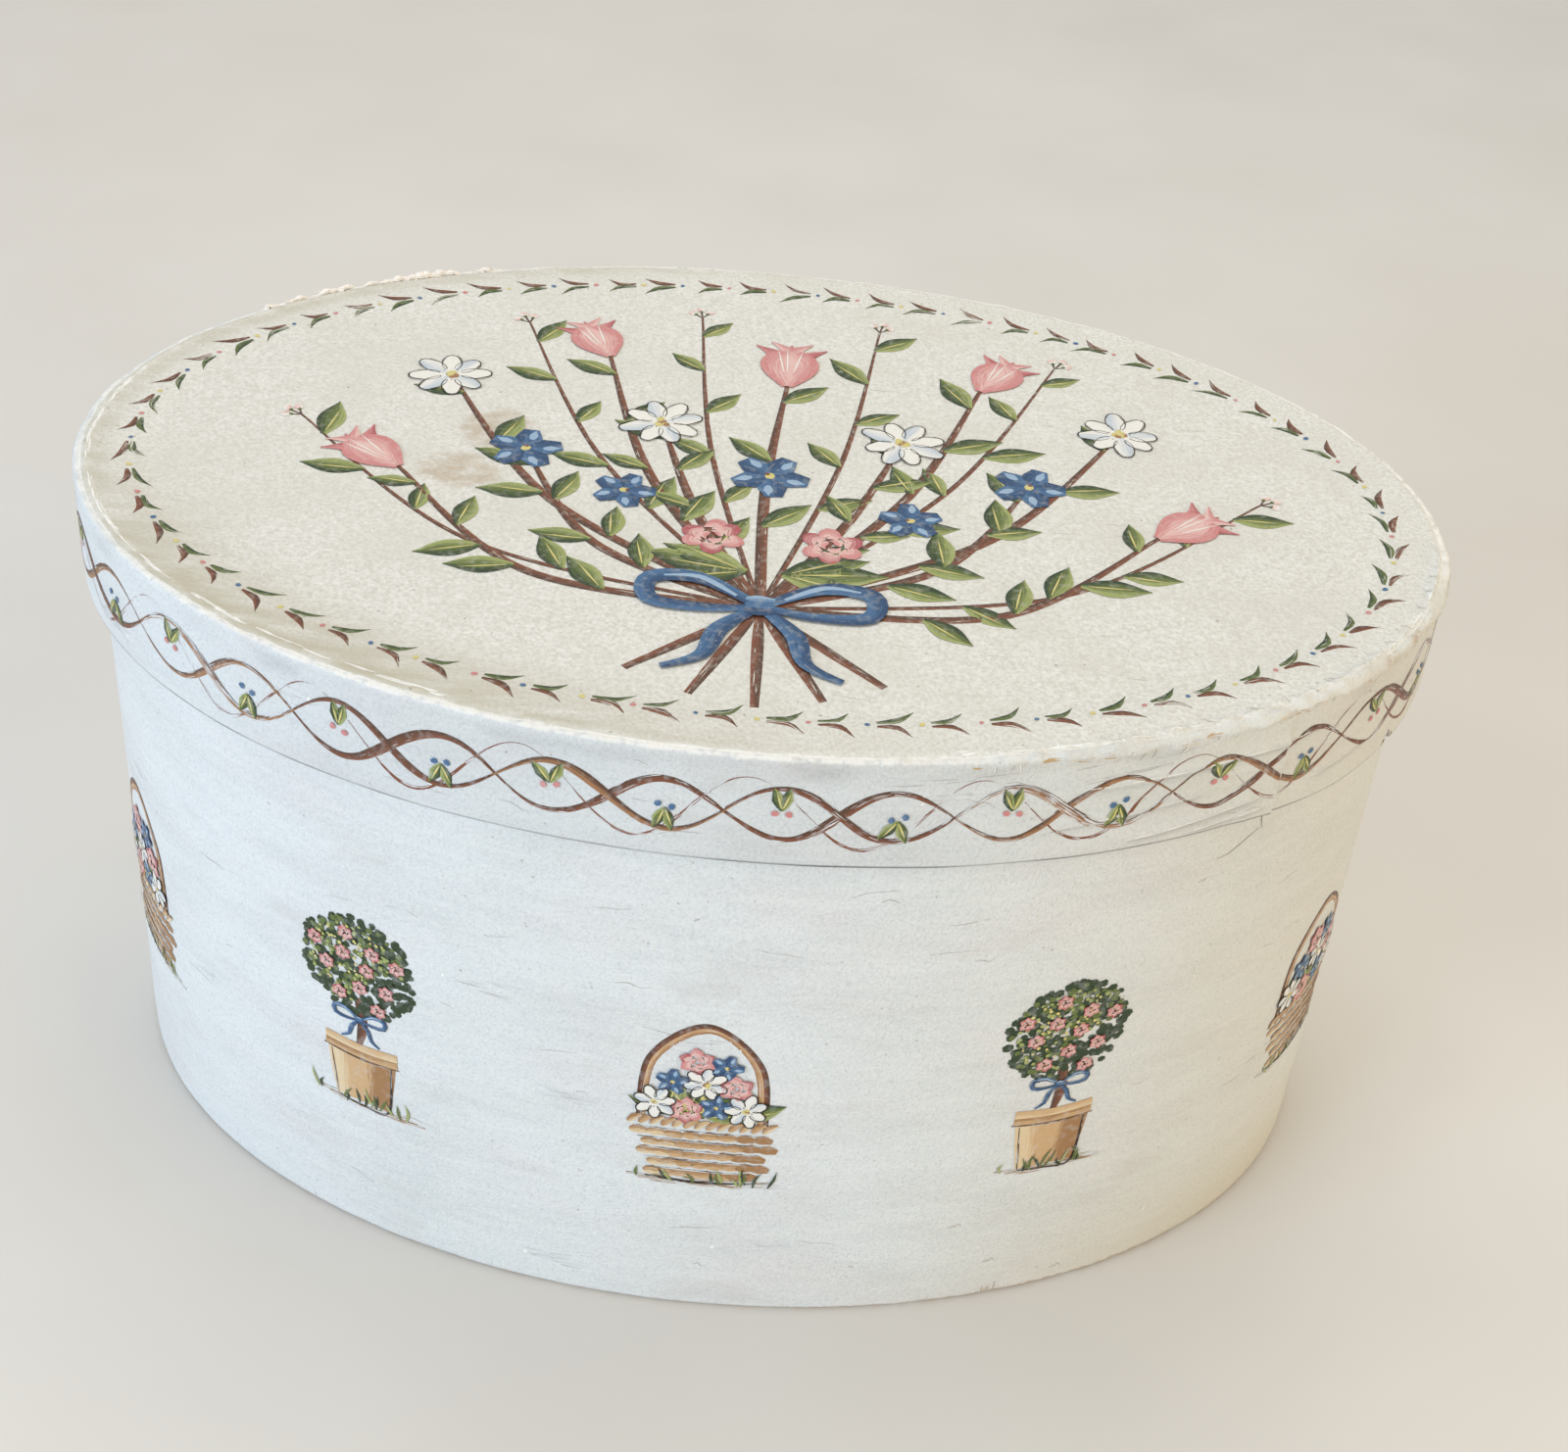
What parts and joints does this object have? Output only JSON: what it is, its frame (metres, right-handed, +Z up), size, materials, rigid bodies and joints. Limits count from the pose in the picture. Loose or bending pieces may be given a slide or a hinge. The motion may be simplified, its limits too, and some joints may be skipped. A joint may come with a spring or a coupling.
{
  "type": "bandbox",
  "caption": "Oval pasteboard bandbox with a shallow lift-off lid, papered inside and out and hand-painted, for keeping small things.",
  "frame": {"origin": "centre of the base on the table, with the lid closed", "axes": "+X along the length of the oval, front towards -Y, +Z up"},
  "size_m": [0.2302, 0.1562, 0.1236],
  "materials": {
    "pasteboard": "raw kraft pasteboard",
    "gummed_tape": "matte brown kraft tape",
    "painted_paper": "paper brushed with white paint, satin",
    "cream_paper": "mottled cream paper, matte",
    "lining_paper": "plain off-white paper, matte"
  },
  "bodies": {
    "box": {"side_wall": "pasteboard", "side_tape": "gummed_tape", "floor_board": "pasteboard", "side_wrap": "painted_paper", "base_paper": "lining_paper", "side_liner": "lining_paper", "floor_liner": "lining_paper"},
    "lid": {"lid_board": "pasteboard", "lid_band": "pasteboard", "lid_tape": "gummed_tape", "lid_wrap": "painted_paper", "lid_top_paper": "cream_paper", "lid_liner": "lining_paper", "lid_band_liner": "lining_paper"}
  },
  "joints": [
    {"name": "lid_lift", "type": "slide", "parent": "box", "child": "lid", "axis": [0, 0, 1], "range_m": [0, 0.13]}
  ]
}
